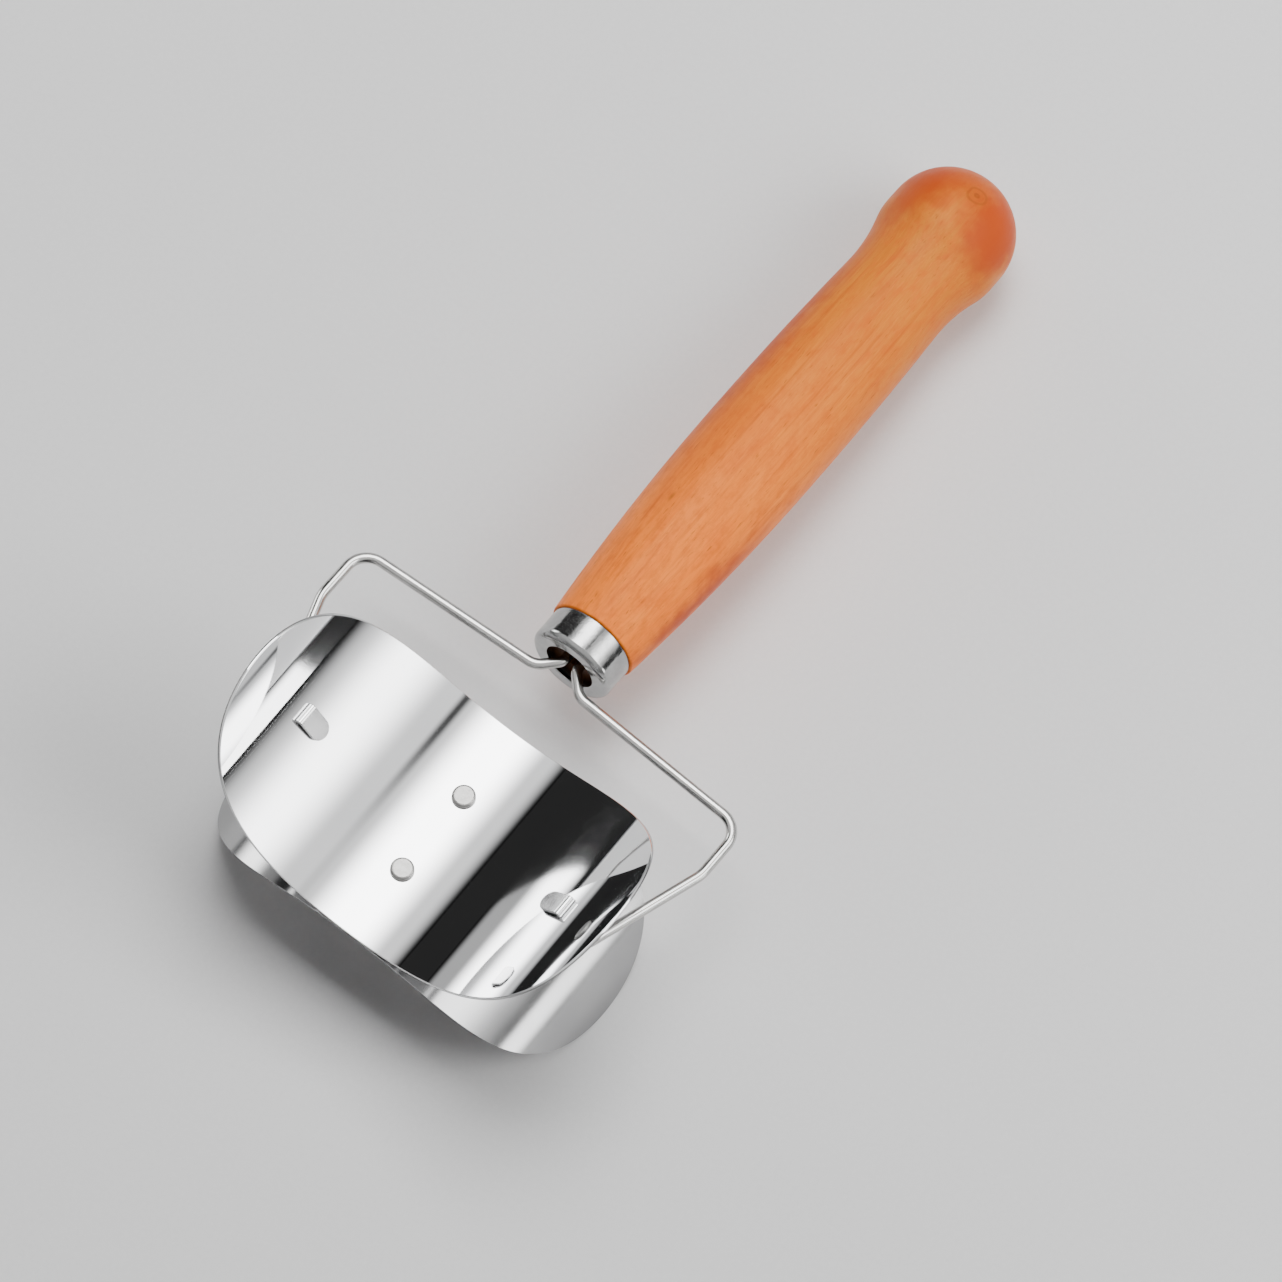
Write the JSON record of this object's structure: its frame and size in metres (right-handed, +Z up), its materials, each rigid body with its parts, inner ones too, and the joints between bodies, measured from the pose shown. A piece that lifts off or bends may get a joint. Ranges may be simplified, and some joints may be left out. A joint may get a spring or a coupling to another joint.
{
  "type": "rolling dough cutter",
  "caption": "Rolling cutter for round pieces of dough: curved polished steel blades, back to back, turn in a wire yoke on a turned wooden handle with a ball end.",
  "frame": {"origin": "middle of the object's length and width, on the table that it lies on", "axes": "+X along the roller's axle, +Y from the roller towards the ball end of the handle, +Z up from the table"},
  "size_m": [0.0968, 0.2118, 0.053],
  "materials": {
    "handle_wood": "satin varnish",
    "ferrule_chrome": "mirror polished",
    "yoke_steel": "bright drawn",
    "blade_steel": "mirror polished",
    "rivet_steel": "satin",
    "strut_steel": "polished"
  },
  "bodies": {
    "hand_frame": {"handle": "handle_wood", "ferrule": "ferrule_chrome", "yoke_wire": "yoke_steel"},
    "roller": {"upper_blade": "blade_steel", "lower_blade": "blade_steel", "front_rivet": "rivet_steel", "rear_rivet": "rivet_steel", "right_bearing_strut": "strut_steel", "left_bearing_strut": "strut_steel"}
  },
  "joints": [
    {"name": "roller_spin", "type": "hinge", "parent": "hand_frame", "child": "roller", "pos_m": [0, -0.07942, 0.0265], "axis": [1, 0, 0], "continuous": true}
  ]
}
